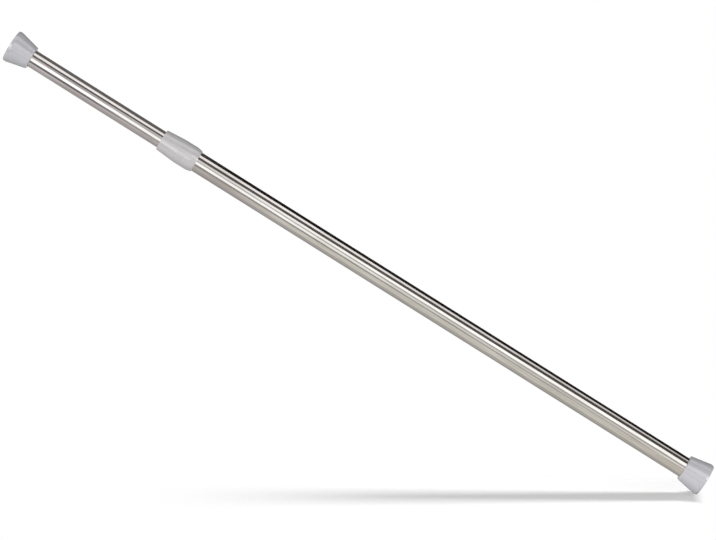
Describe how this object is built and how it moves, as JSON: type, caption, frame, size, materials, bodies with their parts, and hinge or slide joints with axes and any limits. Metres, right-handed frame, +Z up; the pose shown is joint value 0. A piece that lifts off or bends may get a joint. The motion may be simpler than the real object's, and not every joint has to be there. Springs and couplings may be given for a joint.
{
  "type": "spring tension rod",
  "caption": "Telescopic spring tension rod: bright steel tubes, grey collar and flared grey feet, with a twist lock and a spring inside that press the feet against two walls.",
  "frame": {"origin": "middle of the outer foot's wall face", "axes": "+X along the rod and out of the outer foot's wall face, so the rod runs towards -X; +Z up"},
  "size_m": [0.8565, 0.036, 0.036],
  "materials": {
    "bright_steel": "bright polished stainless steel with a fine lengthwise grain",
    "grey_plastic": "satin moulded plastic, light cool grey",
    "grey_foot": "soft satin moulding, light cool grey",
    "white_nylon": "natural white nylon moulding",
    "plated_steel": "zinc plated turned steel",
    "spring_steel": "drawn spring steel",
    "black_rubber": "matt black rubber"
  },
  "bodies": {
    "outer_rod": {"outer_tube": "bright_steel", "collar": "grey_plastic", "outer_foot": "grey_foot", "outer_end_plug": "white_nylon"},
    "expander": {"expander_sleeve": "white_nylon", "drag_ring": "black_rubber"},
    "cone": {"cone_nut": "white_nylon"},
    "spindle": {"spindle": "plated_steel", "thrust_washer": "plated_steel", "rear_spring_washer": "plated_steel", "spring": "spring_steel", "retaining_washer": "plated_steel", "retaining_clip": "spring_steel", "stop_clip": "spring_steel"},
    "inner_rod": {"inner_tube": "bright_steel", "guide_plug": "white_nylon", "inner_end_plug": "white_nylon", "inner_foot": "grey_foot", "front_spring_washer": "plated_steel"}
  },
  "joints": [
    {"name": "telescope", "type": "slide", "parent": "outer_rod", "child": "expander", "axis": [-1, 0, 0], "range_m": [-0.134, 0.365]},
    {"name": "twist", "type": "hinge", "parent": "expander", "child": "spindle", "pos_m": [-0.25, 0, 0], "axis": [1, 0, 0], "range_deg": [-540, 0]},
    {"name": "cone_travel", "type": "slide", "parent": "expander", "child": "cone", "axis": [1, 0, 0], "range_m": [0, 0.0038]},
    {"name": "spring_travel", "type": "slide", "parent": "spindle", "child": "inner_rod", "axis": [1, 0, 0], "range_m": [0, 0.025], "stiffness_N_per_m": 2960, "springref_m": -0.007, "deforming": ["spring"]}
  ],
  "couplings": [
    {"joint": "cone_travel", "follows": "twist", "m_per_rad": -0.00039789}
  ]
}
